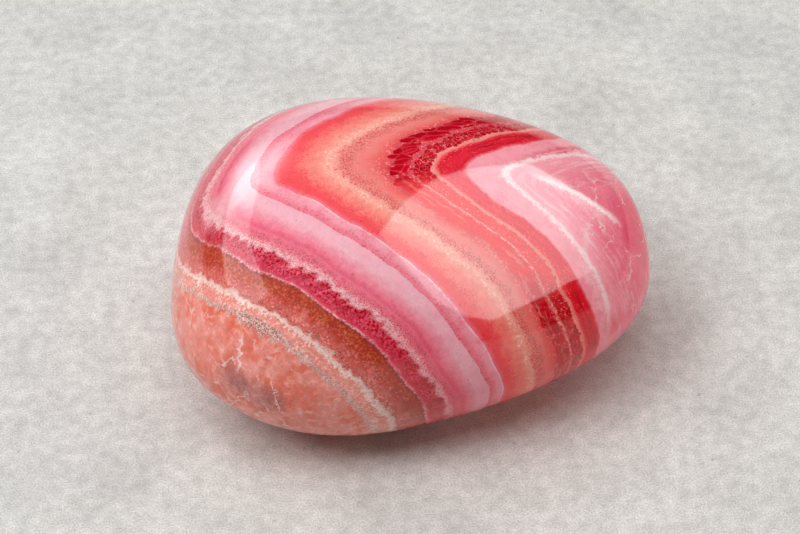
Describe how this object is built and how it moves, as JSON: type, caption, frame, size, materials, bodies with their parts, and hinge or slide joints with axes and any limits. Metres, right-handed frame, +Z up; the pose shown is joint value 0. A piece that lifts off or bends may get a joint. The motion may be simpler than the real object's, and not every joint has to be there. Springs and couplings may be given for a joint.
{
  "type": "polished rhodochrosite palm stone",
  "caption": "Tumbled, polished pebble of banded pink and red stone, broad and high at one end, narrower and lower at the other, lying on a small flat patch.",
  "frame": {"origin": "middle of the bottom of the bounding box, on the surface that the stone lies on", "axes": "+X along the longest side, towards the narrow, low end; +Z up, along the shortest side; +Y across, away from the side with the brown and crimson bands"},
  "size_m": [0.06, 0.047, 0.033],
  "materials": {
    "polished_rhodochrosite": "tumbled to a glassy polish, banded in rose, lilac pink, crimson, coral and cream"
  },
  "bodies": {
    "root": {"palm_stone": "polished_rhodochrosite"}
  },
  "joints": []
}
